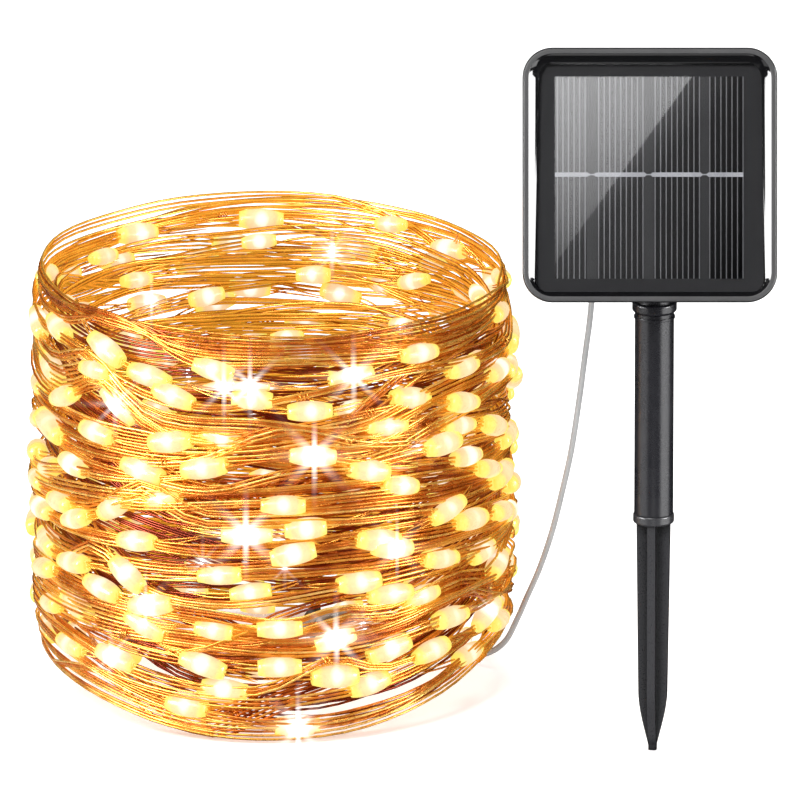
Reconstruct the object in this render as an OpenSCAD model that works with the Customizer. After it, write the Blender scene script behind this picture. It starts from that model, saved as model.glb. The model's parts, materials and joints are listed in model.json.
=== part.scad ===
// Solar string lights: a square solar panel head on a ground stake, a thin lead,
// and a thick open coil of fine wire with moulded LED drops.
// Origin: the tip of the ground spike. +Z is up and the panel faces -Y.
// Every size is in millimetres.

/* [Panel head] */
// Width and height of the square panel head
head_w = 102; // [92:1:120]
// Corner radius of the front frame
head_corner_r = 12; // [8:1:16]
// Depth of the front frame
frame_depth = 8; // [6:0.5:10]
// Depth of the rear housing behind the gasket
housing_depth = 11.2; // [11:0.1:12]
// Lean of the panel back from upright as it is set up
panel_lean = 16; // [0:1:60]
// Width of the solar laminate inside the frame
laminate_w = 91.2; // [80:0.2:92]
// Height of each strip of solar cell
cell_h = 80.8; // [60:0.1:84]
// Wall thickness of the mouldings
wall = 2; // [1.6:0.1:2.5]

/* [Stake] */
// Height of the tilt hinge above the spike tip
hinge_z = 219; // [205:1:250]
// Length of the ground spike under its collar
spike_len = 96; // [80:1:110]
// Outer diameter of the stake tube
tube_d = 15.8; // [14.8:0.1:16.4]
// Inner diameter of the stake tube
tube_bore = 14; // [12:0.5:14.2]
// How far the head, the lead and the coil lie to the side of the stake's axis
head_shift = -2.4; // [-6:0.1:6]
// Height of the collar bead at each end of the tube
bead_h = 4.2; // [3:0.2:6]
// Width of the spike at its top
spike_w = 13.5; // [12:0.5:15]
// Turn of the spike's cross about the stake
spike_turn = -9.4; // [-45:0.1:45]

/* [Light string] */
// Outer radius of the wound wire at mid height
ring_r = 98; // [95:1:105]
// Inner radius of the wound wire
ring_inner_r = 84; // [81:1:87]
// Height of the wound wire
ring_h = 177; // [150:1:190]
// Number of LED drops that stand out of the coil
drop_count = 200; // [50:10:240]
// Length of one LED drop
drop_len = 18; // [8:1:20]
// Diameter of one LED drop
drop_d = 8.4; // [5:0.1:9]

/* [Lead] */
// Diameter of the lead from the panel to the light string
lead_d = 2.4; // [2:0.1:3]

/* [Hidden] */

// Small gap between pieces that move on each other
gap = 0.3;

// Head, in its own frame: hinge axis along X through the origin, panel face to -Y
housing_back = -9;
housing_front = housing_back - housing_depth;
gasket_t = 0.8;
frame_back = housing_front - gasket_t;
frame_front = frame_back - frame_depth;
head_below_hinge = 30;
head_mid = head_w / 2 - head_below_hinge;
housing_w = head_w - 4;
housing_corner_r = head_corner_r - 2;
housing_inner = housing_back - wall;

// Front frame: a sloped recess in front, a pocket for the laminate and a thin floor
slope_w = head_w - 5.6;
slope_depth = 2;
pocket_w = laminate_w + 0.4;
pocket_corner_r = 5;
floor_t = 1.6;
laminate_back = frame_back - floor_t;
window_drop = 1.2;
wire_hole_d = 8;
wire_hole_x = 12;
post_x = 40;
post_d = 6;
screw_d = 2;

// Laminate, from back to front
board_t = 1.6;
cell_t = 0.3;
ribbon_t = 0.15;
cover_t = 2;
strip_edges = [[-38, -25.3], [-20.9, -2.5], [1.7, 20.1], [24.3, 37.4]];
cell_drop = 1.0;
ribbon_w = 1.7;
ribbon_rise = 0.2;

// Battery bay
bay_z = 44;
bay_w = 80;
bay_h = 26;
bay_depth = 12;
bay_corner_r = 5;
battery_d = 18.4;
battery_len = 65;
battery_y = -9.4;
holder_w = 75;
holder_h = 20.8;
holder_end_t = 1.5;

// Circuit board and buttons
pcb_w = 68;
pcb_h = 48;
pcb_back = -16.6;
pcb_t = 1.6;
standoff_x = 30;
standoff_z = 20;
button_d = 8;
button_flange_d = 10;
button_flange_t = 0.8;
button_proud = 1.2;
button_z = 16;
power_x = 7;
mode_x = 21;
switch_w = 6;
switch_t = 3;

// Hinge
knuckle_r = 7;
tongue_w = 12;
ear_t = 4;
bolt_d = 4;
bolt_hole_d = 4.12;
nut_af = 7;
nut_t = 3.2;
bolt_head_d = 7.6;
bolt_head_t = 2.6;

// Boot that the lead leaves the housing through; its mouth is on the hinge axis
boot_x = -18;
boot_len = 15;
boot_root_d = 6;
boot_mouth_d = 4;
boot_arm_w = 9;
boot_arm_z = 12;
boot_arm_h = 6;

// Stake levels
spike_collar_d = tube_d + 0.8;
tube_base = spike_len + bead_h;
neck_bead_d = 18;
neck_bead_base = 184.6;
tube_top = neck_bead_base - gap;
neck_plug_len = 22;
spike_plug_len = 20;
fin_t = 3.2;

// Places of the coils on the ground
ring_at = [-152 + head_shift, 100, 0];
coil_at = [-118 + head_shift, 140, 0];
coil_inner_r = 8.4;
coil_outer_r = 20.4;
coil_h = 12;
splice_d = 5;
splice_from = [-139.4 + head_shift, 167.5, splice_d / 2];
splice_to = [-135.3 + head_shift, 187.7, splice_d / 2];

// Route of the lead from the boot, chosen by hand and moved to the side with the head
neck_tail_route = [
    [-18, 0, 216], [-18, 0.5, 211], [-18.5, 2, 206], [-19.5, 4.5, 201],
    [-20.5, 7.5, 196], [-21.5, 10.5, 191], [-22.4, 12.6, 187]
];
lead_route = [
    [-22.7, 13.3, 185.4], [-23, 15, 181], [-23.7, 18, 173], [-25, 23.5, 161],
    [-27.5, 31, 138], [-30.5, 41, 114], [-34, 51, 94], [-38, 64, 73],
    [-43, 78, 53], [-48, 91, 37], [-52, 99, 25], [-57, 107, 13],
    [-65, 114.5, 5.5], [-76, 125.3, 2], [-88, 137.2, 1.2], [-104.4, 153.6, 1.2]
];
end_route = [
    [-118, 154.1, 10.8], [-124, 154.2, 10.9], [-130, 154.6, 10.6], [-135, 156.2, 8.2],
    [-138.4, 159.6, 5], [-139.8, 163.4, 3], [-139.4, 167.5, 2.5]
];

// --- helpers -------------------------------------------------------------------------

// Unit vector along v
function unit(v) = v / norm(v);

// Point on a smooth curve through p1 and p2 at t from 0 to 1
function spline_point(p0, p1, p2, p3, t) =
    0.5 * (2 * p1 + (p2 - p0) * t + (2 * p0 - 5 * p1 + 4 * p2 - p3) * t * t
        + (3 * p1 - p0 - 3 * p2 + p3) * t * t * t);

// Route with steps extra points on every stretch
function smooth_route(route, steps) =
    let (last = len(route) - 1)
    concat(
        [for (i = [0 : last - 1])
            for (j = [0 : steps - 1])
                spline_point(route[max(i - 1, 0)], route[i], route[i + 1],
                    route[min(i + 2, last)], j / steps)],
        [route[last]]
    );

// Direction of the route at point i
function heading(route, i) = unit(route[min(i + 1, len(route) - 1)] - route[max(i - 1, 0)]);

// Round tube of diameter d swept along the route; side is never along the route
module swept_tube(route, d, side, sides = 8) {
    count = len(route);
    rings = [for (i = [0 : count - 1])
        let (t = heading(route, i), u = unit(cross(t, side)), w = cross(u, t))
        for (k = [0 : sides - 1])
            route[i] + d / 2 * (cos(360 * k / sides) * u + sin(360 * k / sides) * w)];
    walls = [for (i = [0 : count - 2]) for (k = [0 : sides - 1])
        [i * sides + k, i * sides + (k + 1) % sides,
            (i + 1) * sides + (k + 1) % sides, (i + 1) * sides + k]];
    start_cap = [for (k = [sides - 1 : -1 : 0]) k];
    end_cap = [for (k = [0 : sides - 1]) (count - 1) * sides + k];
    polyhedron(points = rings, faces = concat(walls, [start_cap, end_cap]), convexity = 6);
}

// Square with exact round corners
module rounded_square(w, h, r) {
    square([w - 2 * r, h], center = true);
    square([w, h - 2 * r], center = true);
    for (x = [-1, 1])
        for (y = [-1, 1])
            translate([x * (w / 2 - r), y * (h / 2 - r)])
                circle(r, $fn = 64);
}

// Rounded plate facing -Y, centred on x = 0 and z = mid, from y0 back to y1
module plate(w, h, r, y0, y1, mid = head_mid) {
    translate([0, y1, mid])
        rotate([90, 0, 0])
            linear_extrude(y1 - y0)
                rounded_square(w, h, r);
}

// Cylinder along Y from y0 to y1
module rod_y(x, z, d, y0, y1) {
    translate([x, y1, z])
        rotate([90, 0, 0])
            cylinder(d = d, h = y1 - y0, $fn = 48);
}

// Cylinder along X from x0 to x1
module rod_x(y, z, d, x0, x1) {
    translate([x0, y, z])
        rotate([0, 90, 0])
            cylinder(d = d, h = x1 - x0, $fn = 48);
}

// Block between two corners
module block(from, to) {
    translate(from)
        cube(to - from);
}

// Puts a piece of the head in place, leaning back about the hinge
module on_head() {
    translate([head_shift, 0, hinge_z])
        rotate([-panel_lean, 0, 0])
            children();
}

// The four corners that the housing screws are at
module at_screws() {
    for (x = [-post_x, post_x])
        for (z = [head_mid - post_x, head_mid + post_x])
            translate([x, 0, z])
                children();
}

// The four corners that the circuit board is held at
module at_standoffs() {
    for (x = [-standoff_x, standoff_x])
        for (z = [-standoff_z, standoff_z])
            translate([x, 0, z])
                children();
}

// --- panel head: front ---------------------------------------------------------------

module front_frame() {
    color("#2a2a2c")
        on_head()
            difference() {
                union() {
                    plate(head_w, head_w, head_corner_r, frame_front, frame_back);
                    at_screws()
                        rod_y(0, 0, post_d, frame_back - 0.5, housing_inner);
                }
                plate(slope_w, slope_w, head_corner_r - 3, frame_front - 1,
                    frame_front + slope_depth);
                plate(pocket_w, pocket_w, pocket_corner_r, frame_front - 1, laminate_back,
                    head_mid - window_drop);
                rod_y(wire_hole_x, 0, wire_hole_d, laminate_back - 1, frame_back + 1);
                at_screws()
                    rod_y(0, 0, screw_d, frame_back, housing_inner + 1);
            }
}

module backing_board() {
    color("#17181c")
        on_head()
            plate(laminate_w, laminate_w, pocket_corner_r, laminate_back - board_t,
                laminate_back, head_mid - window_drop);
}

module solar_cells() {
    cell_back = laminate_back - board_t;
    cell_mid = head_mid - cell_drop;
    color("#101216")
        on_head()
            for (edge = strip_edges)
                block([edge[0], cell_back - cell_t, cell_mid - cell_h / 2],
                    [edge[1], cell_back, cell_mid + cell_h / 2]);
}

module cell_ribbons() {
    ribbon_back = laminate_back - board_t - cell_t;
    ribbon_z = head_mid + ribbon_rise;
    color("#b9bcc2")
        on_head()
            block([strip_edges[0][0], ribbon_back - ribbon_t, ribbon_z - ribbon_w / 2],
                [strip_edges[3][1], ribbon_back, ribbon_z + ribbon_w / 2]);
}

module panel_cover() {
    cover_back = laminate_back - board_t - cell_t - ribbon_t;
    color("#20242c", 0.4)
        on_head()
            plate(laminate_w, laminate_w, pocket_corner_r, cover_back - cover_t, cover_back,
                head_mid - window_drop);
}

module frame_gasket() {
    color("#161616")
        on_head()
            difference() {
                plate(housing_w, housing_w, housing_corner_r, frame_back, housing_front);
                plate(housing_w - 4, housing_w - 4, housing_corner_r - 2, frame_back - 1,
                    housing_front + 1);
            }
}

// --- panel head: rear housing --------------------------------------------------------

module rear_housing() {
    color("#242426")
        on_head()
            difference() {
                union() {
                    plate(housing_w, housing_w, housing_corner_r, housing_front, housing_back);
                    plate(bay_w, bay_h, bay_corner_r, housing_inner, housing_back + bay_depth,
                        bay_z);
                    hinge_ears();
                    boot_arm();
                }
                difference() {
                    plate(housing_w - 2 * wall, housing_w - 2 * wall, housing_corner_r - wall,
                        housing_front - 1, housing_inner);
                    at_standoffs()
                        rod_y(0, 0, 5, pcb_back, housing_inner + 1);
                }
                plate(bay_w - 2 * wall, bay_h - 2 * wall, bay_corner_r - wall, housing_inner - 1,
                    housing_back + bay_depth - wall, bay_z);
                at_screws()
                    rod_y(0, 0, screw_d + 0.4, housing_inner - 1, housing_back + 1);
                at_standoffs()
                    rod_y(0, 0, screw_d, pcb_back - 1, housing_inner);
                for (x = [power_x, mode_x])
                    rod_y(x, button_z, button_d + 2 * gap, housing_inner - 1, housing_back + 1);
                rod_x(0, 0, bolt_hole_d, -20, 20);
                boot_seat();
            }
}

// Two ears that carry the hinge bolt
module hinge_ears() {
    for (side = [-1, 1])
        translate([side * (tongue_w / 2 + gap + ear_t / 2) - head_shift, 0, 0])
            rotate([90, 0, 90])
                linear_extrude(ear_t, center = true) {
                    circle(knuckle_r, $fn = 64);
                    translate([housing_inner, -knuckle_r])
                        square([-housing_inner, 2 * knuckle_r]);
                }
}

// Arm behind the housing that holds the boot over the hinge axis
module boot_arm() {
    block([boot_x - boot_arm_w / 2, housing_inner, boot_arm_z],
        [boot_x + boot_arm_w / 2, boot_arm_w / 2, boot_arm_z + boot_arm_h]);
}

// Upright hole for the boot, and the duct from it into the housing
module boot_seat() {
    translate([boot_x, 0, boot_arm_z - 1])
        cylinder(d = boot_root_d, h = 4, $fn = 48);
    rod_y(boot_x, boot_arm_z + 3, 2.6, housing_inner - 1, 0);
}

module lead_boot() {
    color("#1b1b1b")
        on_head()
            translate([boot_x, 0, 0])
                difference() {
                    union() {
                        cylinder(d1 = boot_mouth_d, d2 = boot_root_d, h = boot_arm_z, $fn = 48);
                        translate([0, 0, boot_arm_z])
                            cylinder(d = boot_root_d, h = boot_len - boot_arm_z, $fn = 48);
                    }
                    translate([0, 0, -1])
                        cylinder(d = lead_d, h = boot_len + 2, $fn = 48);
                }
}

module housing_screws() {
    color("#8a8c90")
        on_head()
            at_screws()
                difference() {
                    union() {
                        rod_y(0, 0, screw_d, housing_inner - 6, housing_back);
                        rod_y(0, 0, 5, housing_back, housing_back + 1.5);
                    }
                    block([-1.6, housing_back + 0.7, -0.3], [1.6, housing_back + 2, 0.3]);
                    block([-0.3, housing_back + 0.7, -1.6], [0.3, housing_back + 2, 1.6]);
                }
}

// --- panel head: inside --------------------------------------------------------------

module battery_cell() {
    color("#3f6fa8")
        on_head() {
            rod_x(battery_y, bay_z, battery_d, -battery_len / 2, battery_len / 2);
            rod_x(battery_y, bay_z, 6, battery_len / 2, battery_len / 2 + 1.5);
        }
}

module battery_holder() {
    color("#1d1d1f")
        on_head()
            difference() {
                block([-holder_w / 2, housing_front + 0.2, bay_z - holder_h / 2],
                    [holder_w / 2, housing_inner, bay_z + holder_h / 2]);
                rod_x(battery_y, bay_z, battery_d, -holder_w / 2 + holder_end_t,
                    holder_w / 2 - holder_end_t);
            }
}

module battery_contact() {
    color("#c9c2a0")
        on_head()
            block([battery_len / 2 + 1.5, battery_y - 4, bay_z - 4],
                [battery_len / 2 + 2, battery_y + 4, bay_z + 4]);
}

module battery_spring() {
    turns = 3;
    reach = holder_w / 2 - holder_end_t - battery_len / 2 - 0.8;
    coil = [for (i = [0 : turns * 12])
        [-battery_len / 2 - 0.4 - reach * i / (turns * 12),
            battery_y + 3.4 * cos(i * 30), bay_z + 3.4 * sin(i * 30)]];
    color("#b8bac0")
        on_head()
            swept_tube(coil, 0.7, [1, 0, 0], 6);
}

module battery_wires() {
    color("#b02a24")
        on_head()
            for (x = [-26, 26])
                translate([x, pcb_back - pcb_t / 2, pcb_h / 2])
                    cylinder(d = 1.2, h = bay_z - holder_h / 2 - pcb_h / 2, $fn = 24);
}

module circuit_board() {
    color("#1f6b3a")
        on_head()
            difference() {
                block([-pcb_w / 2, pcb_back - pcb_t, -pcb_h / 2], [pcb_w / 2, pcb_back, pcb_h / 2]);
                at_standoffs()
                    rod_y(0, 0, screw_d, pcb_back - pcb_t - 1, pcb_back + 1);
            }
}

module board_parts() {
    color("#222222")
        on_head() {
            block([-6, pcb_back, -10], [4, pcb_back + 1.6, -4]);
            block([-22, pcb_back, 6], [-14, pcb_back + 3, 14]);
            rod_y(10, -14, 5, pcb_back, pcb_back + 4.5);
            rod_y(18, -14, 5, pcb_back, pcb_back + 4.5);
            block([-18, pcb_back, -16], [-12, pcb_back + 2, -12]);
        }
}

module board_screws() {
    color("#9a9ca0")
        on_head()
            at_standoffs() {
                rod_y(0, 0, screw_d, pcb_back - pcb_t, housing_inner - 1);
                rod_y(0, 0, 3.8, pcb_back - pcb_t - 1.2, pcb_back - pcb_t);
            }
}

module panel_wires() {
    color("#a33028")
        on_head()
            for (x = [wire_hole_x - 2, wire_hole_x + 2])
                rod_y(x, 0, 1.2, laminate_back, pcb_back - pcb_t);
}

// Square switch body on the back of the circuit board
module switch_body(x) {
    block([x - switch_w / 2, pcb_back, button_z - switch_w / 2],
        [x + switch_w / 2, pcb_back + switch_t, button_z + switch_w / 2]);
}

module power_switch() {
    color("#333336")
        on_head()
            switch_body(power_x);
}

module mode_switch() {
    color("#333336")
        on_head()
            switch_body(mode_x);
}

// Button cap with a flange behind the wall
module button_cap(x) {
    flange_back = housing_inner - gap;
    rod_y(x, button_z, button_d, flange_back - button_flange_t, housing_back + button_proud);
    rod_y(x, button_z, button_flange_d, flange_back - button_flange_t, flange_back);
}

module power_button() {
    color("#8c1d1d")
        on_head()
            button_cap(power_x);
}

module mode_button() {
    color("#3a3a3d")
        on_head()
            button_cap(mode_x);
}

// --- stake ---------------------------------------------------------------------------

module neck() {
    shoulder = hinge_z - knuckle_r - 3;
    color("#2b2b2d")
        difference() {
            union() {
                translate([-tongue_w / 2, 0, hinge_z])
                    rotate([90, 0, 90])
                        linear_extrude(tongue_w) {
                            circle(knuckle_r, $fn = 64);
                            translate([-knuckle_r, shoulder - hinge_z - 1])
                                square([2 * knuckle_r, hinge_z - shoulder + 1]);
                        }
                translate([0, 0, neck_bead_base])
                    cylinder(d = tube_d - 1, h = shoulder - neck_bead_base, $fn = 64);
                translate([0, 0, neck_bead_base])
                    rotate_extrude($fn = 64)
                        bead_profile(neck_bead_d, bead_h);
                translate([0, 0, tube_top - neck_plug_len])
                    cylinder(d = tube_bore - 2 * gap, h = neck_plug_len + 1, $fn = 64);
            }
            translate([-20, 0, hinge_z])
                rotate([0, 90, 0])
                    cylinder(d = bolt_hole_d, h = 40, $fn = 48);
        }
}

// Half profile of a collar with a rounded edge
module bead_profile(d, h) {
    square([d / 2 - h / 4, h]);
    translate([d / 2 - h / 4, h / 4])
        square([h / 4, h / 2]);
    for (z = [h / 4, 3 * h / 4])
        translate([d / 2 - h / 4, z])
            circle(h / 4, $fn = 32);
}

module hinge_bolt() {
    ear_out = tongue_w / 2 + gap + ear_t;
    color("#9b9da1")
        translate([0, 0, hinge_z])
            rotate([0, 90, 0])
                difference() {
                    union() {
                        translate([0, 0, -ear_out])
                            cylinder(d = bolt_d, h = 2 * ear_out + nut_t + 1, $fn = 48);
                        translate([0, 0, -ear_out - bolt_head_t])
                            cylinder(d = bolt_head_d, h = bolt_head_t, $fn = 48);
                    }
                    translate([0, 0, -ear_out - bolt_head_t - 1])
                        cylinder(d = 3.4, h = 2.4, $fn = 6);
                }
}

module hinge_nut() {
    color("#8e9094")
        translate([tongue_w / 2 + gap + ear_t, 0, hinge_z])
            rotate([0, 90, 0])
                difference() {
                    cylinder(d = nut_af / cos(30), h = nut_t, $fn = 6);
                    translate([0, 0, -1])
                        cylinder(d = bolt_d, h = nut_t + 2, $fn = 48);
                }
}

module stem_tube() {
    color("#2e2e31")
        difference() {
            union() {
                translate([0, 0, tube_base])
                    cylinder(d = tube_d, h = tube_top - tube_base, $fn = 64);
                translate([0, 0, tube_top - 2.6])
                    rotate_extrude($fn = 64)
                        bead_profile(tube_d + 0.8, 1.2);
            }
            translate([0, 0, tube_base - 1])
                cylinder(d = tube_bore, h = tube_top - tube_base + 2, $fn = 64);
        }
}

// Half width of the spike at height z
function spike_half(z) =
    let (tip_r = 1.2, shoulder_z = 26, shoulder = 0.43 * spike_w)
    z < shoulder_z
        ? tip_r + (shoulder - tip_r) * pow(sin(90 * z / shoulder_z), 1.2)
        : shoulder + (spike_w / 2 - shoulder) * (z - shoulder_z) / (spike_len - shoulder_z);

// One blade of the spike, upright in the XZ plane
module spike_blade() {
    heights = [0, 1, 2.5, 4.5, 7, 10, 13, 16, 19, 22, 24, 26, spike_len];
    last = len(heights) - 1;
    rotate([90, 0, 0])
        linear_extrude(fin_t, center = true)
            polygon(concat(
                [for (z = heights) [spike_half(z), z]],
                [for (i = [0 : last]) [-spike_half(heights[last - i]), heights[last - i]]]
            ));
}

module ground_spike() {
    color("#202022")
        rotate([0, 0, spike_turn])
            union() {
                spike_blade();
                rotate([0, 0, 90])
                    spike_blade();
                translate([0, 0, spike_len])
                    rotate_extrude($fn = 64)
                        bead_profile(spike_collar_d, bead_h);
                translate([0, 0, spike_len + 1])
                    cylinder(d = tube_bore, h = bead_h - 1 + spike_plug_len, $fn = 64);
            }
}

// --- lead ----------------------------------------------------------------------------

module lead_neck_tail() {
    color("#c9cac8")
        translate([head_shift, 0, 0])
            swept_tube(smooth_route(neck_tail_route, 1), lead_d, [0.9, 0.4, 0]);
}

module lead_cord() {
    color("#c9cac8")
        translate([head_shift, 0, 0])
            swept_tube(smooth_route(lead_route, 3), lead_d, [0.8, 0.6, 0]);
}

// The spare length, wound up on the ground inside the ring of wire
module lead_coil() {
    color("#c9cac8")
        translate(coil_at)
            rotate_extrude($fn = 96)
                translate([coil_inner_r, 0])
                    square([coil_outer_r - coil_inner_r, coil_h]);
}

module lead_end_run() {
    color("#c9cac8")
        translate([head_shift, 0, 0])
            swept_tube(smooth_route(end_route, 2), lead_d, [0, 0, 1]);
}

// --- light string --------------------------------------------------------------------

module wire_splice() {
    along = splice_to - splice_from;
    color("#1c1c1c")
        translate(splice_from)
            rotate([0, 90, atan2(along[1], along[0])])
                cylinder(d = splice_d, h = norm(along), $fn = 48);
}

// Outer radius of the wound wire at height z; it bulges a little at mid height
function ring_outer(z) = ring_r - 3 + 3 * sin(180 * z / ring_h);

module wire_coil() {
    steps = 8;
    color("#b5763a")
        translate(ring_at)
            rotate_extrude($fn = 96)
                polygon(concat(
                    [[ring_inner_r, 0]],
                    [for (i = [0 : steps])
                        [ring_outer(ring_h * i / steps), ring_h * i / steps]],
                    [[ring_inner_r, ring_h]]
                ));
}

// One moulded LED drop, its length along X
module led_drop() {
    rotate([0, 90, 0])
        rotate_extrude($fn = 24)
            polygon([
                [0, -drop_len / 2], [drop_d / 4, -drop_len / 2], [drop_d / 2, -drop_len / 5],
                [drop_d / 2, drop_len / 5], [drop_d / 4, drop_len / 2], [0, drop_len / 2]
            ]);
}

// Drops set evenly round and up the coil, by turning through the golden angle
module led_drops() {
    golden = 137.508;
    edge = 8;
    color("#fff2c0")
        translate(ring_at)
            for (i = [0 : drop_count - 1])
                let (z = edge + (ring_h - 2 * edge) * (i + 0.5) / drop_count)
                    rotate([0, 0, i * golden])
                        translate([ring_outer(z) - 0.5, 0, z])
                            rotate([0, 0, 90])
                                rotate([0, (i % 3 - 1) * 22, 0])
                                    led_drop();
}

front_frame();
panel_cover();
solar_cells();
cell_ribbons();
backing_board();
frame_gasket();
rear_housing();
housing_screws();
battery_cell();
battery_holder();
battery_spring();
battery_contact();
battery_wires();
circuit_board();
board_parts();
board_screws();
panel_wires();
power_switch();
mode_switch();
power_button();
mode_button();
lead_boot();
neck();
hinge_bolt();
hinge_nut();
stem_tube();
ground_spike();
lead_neck_tail();
lead_cord();
lead_coil();
lead_end_run();
wire_splice();
wire_coil();
led_drops();
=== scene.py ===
"""Looks of the solar string lights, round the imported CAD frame. Metres, +Z up, panel to -Y."""

import json
import math

import bpy
import numpy as np
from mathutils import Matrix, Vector


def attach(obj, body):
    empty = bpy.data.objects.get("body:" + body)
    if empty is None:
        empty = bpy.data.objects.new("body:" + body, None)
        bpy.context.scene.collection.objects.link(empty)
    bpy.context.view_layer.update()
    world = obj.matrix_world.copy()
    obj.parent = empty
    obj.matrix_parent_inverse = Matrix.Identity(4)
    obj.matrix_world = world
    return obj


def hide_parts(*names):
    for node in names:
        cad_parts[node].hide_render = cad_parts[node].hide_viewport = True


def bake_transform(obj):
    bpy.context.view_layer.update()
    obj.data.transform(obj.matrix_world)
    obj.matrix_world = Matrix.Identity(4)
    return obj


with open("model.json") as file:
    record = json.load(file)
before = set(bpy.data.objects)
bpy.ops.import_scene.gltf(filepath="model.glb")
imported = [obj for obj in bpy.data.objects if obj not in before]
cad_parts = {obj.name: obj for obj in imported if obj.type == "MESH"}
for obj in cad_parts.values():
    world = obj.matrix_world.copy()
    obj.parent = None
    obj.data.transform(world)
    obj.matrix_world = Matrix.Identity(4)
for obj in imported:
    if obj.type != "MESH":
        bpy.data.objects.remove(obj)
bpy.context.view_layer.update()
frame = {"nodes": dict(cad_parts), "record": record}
rng = np.random.RandomState(41)
MM = 0.001
# the head, the lead and the coil lie this far to the side of the stake
ASIDE = np.array([-2.4 * MM, 0, 0])

# ---------------------------------------------------------------------------- camera

ELEVATION = math.radians(16)
EYE_ALONG = -6.6894
EYE_UP = 0.1415
EYE_SIDE = -0.1024
LENS_MM = 742.5
SENSOR_MM = 36
CLIP_END = 100


def make_camera():
    """Long lens that looks down by as much as the panel leans back."""
    data = bpy.data.cameras.new("camera")
    data.lens = LENS_MM
    data.sensor_width = SENSOR_MM
    data.clip_end = CLIP_END
    camera = bpy.data.objects.new("camera", data)
    c, s = math.cos(ELEVATION), math.sin(ELEVATION)
    camera.location = (EYE_SIDE, c * EYE_ALONG + s * EYE_UP, c * EYE_UP - s * EYE_ALONG)
    camera.rotation_euler = (math.pi / 2 - ELEVATION, 0, 0)
    bpy.context.scene.collection.objects.link(camera)
    bpy.context.scene.camera = camera


# ---------------------------------------------------------------------------- node helpers


class Nodes:
    """Short calls for building one material's node tree."""

    def __init__(self, name):
        self.mat = bpy.data.materials.new(name)
        self.mat.use_nodes = True
        self.tree = self.mat.node_tree
        self.bsdf = self.tree.nodes["Principled BSDF"]
        self.out = self.tree.nodes["Material Output"]
        self.coord = self.tree.nodes.new("ShaderNodeTexCoord").outputs["Object"]

    def node(self, kind, values=None, links=None, **settings):
        n = self.tree.nodes.new("ShaderNode" + kind)
        for k, v in settings.items():
            setattr(n, k, v)
        for k, v in (values or {}).items():
            n.inputs[k].default_value = v
        for k, v in (links or {}).items():
            self.tree.links.new(v, n.inputs[k])
        return n

    def link(self, a, b):
        self.tree.links.new(a, b)

    def noise(self, scale, detail=4.0, roughness=0.55, vector=None):
        n = self.node("TexNoise", {"Scale": scale, "Detail": detail, "Roughness": roughness},
                      {"Vector": vector or self.coord})
        return n.outputs["Fac"]

    def attribute(self, name):
        return self.node("Attribute", attribute_name=name).outputs["Fac"]

    def ramp(self, fac, stops):
        """Colour from a number, through (position, colour) stops."""
        n = self.node("ValToRGB", links={"Fac": fac})
        while len(n.color_ramp.elements) < len(stops):
            n.color_ramp.elements.new(0.5)
        for e, (at, colour) in zip(n.color_ramp.elements, stops):
            e.position = at
            e.color = (*colour, 1)
        return n.outputs["Color"]

    def remap(self, fac, low, high):
        """A noise's usual span stretched over low to high."""
        spans = {"From Min": 0.3, "From Max": 0.7, "To Min": low, "To Max": high}
        return self.node("MapRange", spans, {"Value": fac}).outputs["Result"]

    def math(self, operation, a, b):
        n = self.node("Math", operation=operation)
        for socket, v in zip(n.inputs, (a, b)):
            if isinstance(v, (int, float)):
                socket.default_value = v
            else:
                self.link(v, socket)
        return n.outputs["Value"]

    def bump(self, height, strength, distance):
        n = self.node("Bump", {"Strength": strength, "Distance": distance}, {"Height": height})
        self.link(n.outputs["Normal"], self.bsdf.inputs["Normal"])

    def set(self, **values):
        for k, v in values.items():
            self.bsdf.inputs[k.replace("_", " ")].default_value = v


def moulded(name, dark, light, rough, grain=1400, depth=0.00004, metallic=0.0, strength=0.35):
    """Moulded or plated surface: two close tones, mottled gloss and a fine grain."""
    m = Nodes(name)
    blotch = m.noise(60, 3)
    fine = m.noise(grain, 2)
    tone = m.math("ADD", m.math("MULTIPLY", blotch, 0.7), m.math("MULTIPLY", fine, 0.3))
    m.link(m.ramp(tone, [(0.35, dark), (0.65, light)]), m.bsdf.inputs["Base Color"])
    m.link(m.remap(tone, rough[0], rough[1]), m.bsdf.inputs["Roughness"])
    m.bump(fine, strength, depth)
    m.set(Metallic=metallic)
    return m.mat


# ---------------------------------------------------------------------------- mesh helpers


def add_mesh(name, verts, faces, material, smooth=True, values=None):
    """New object; values holds one number a vertex for each attribute name."""
    mesh = bpy.data.meshes.new(name)
    mesh.from_pydata([tuple(v) for v in np.asarray(verts, float)], [], [list(f) for f in faces])
    mesh.validate()
    mesh.materials.append(material)
    if smooth:
        mesh.polygons.foreach_set("use_smooth", [True] * len(mesh.polygons))
    for key, data in (values or {}).items():
        layer = mesh.attributes.new(key, "FLOAT", "POINT")
        layer.data.foreach_set("value", np.asarray(data, np.float32))
    mesh.update()
    obj = bpy.data.objects.new(name, mesh)
    bpy.context.scene.collection.objects.link(obj)
    return obj


def joined(parts):
    """Several (verts, faces) as one."""
    verts, faces, base = [], [], 0
    for v, f in parts:
        verts.append(np.asarray(v, float))
        faces += [[int(i) + base for i in face] for face in f]
        base += len(v)
    return np.vstack(verts), faces


def unit(v):
    """Each vector at length 1."""
    return v / np.maximum(np.linalg.norm(v, axis=-1, keepdims=True), 1e-12)


def headings(points):
    """Direction of the line at each point."""
    t = np.empty_like(points)
    t[1:-1] = points[2:] - points[:-2]
    t[0], t[-1] = points[1] - points[0], points[-1] - points[-2]
    return unit(t)


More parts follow.
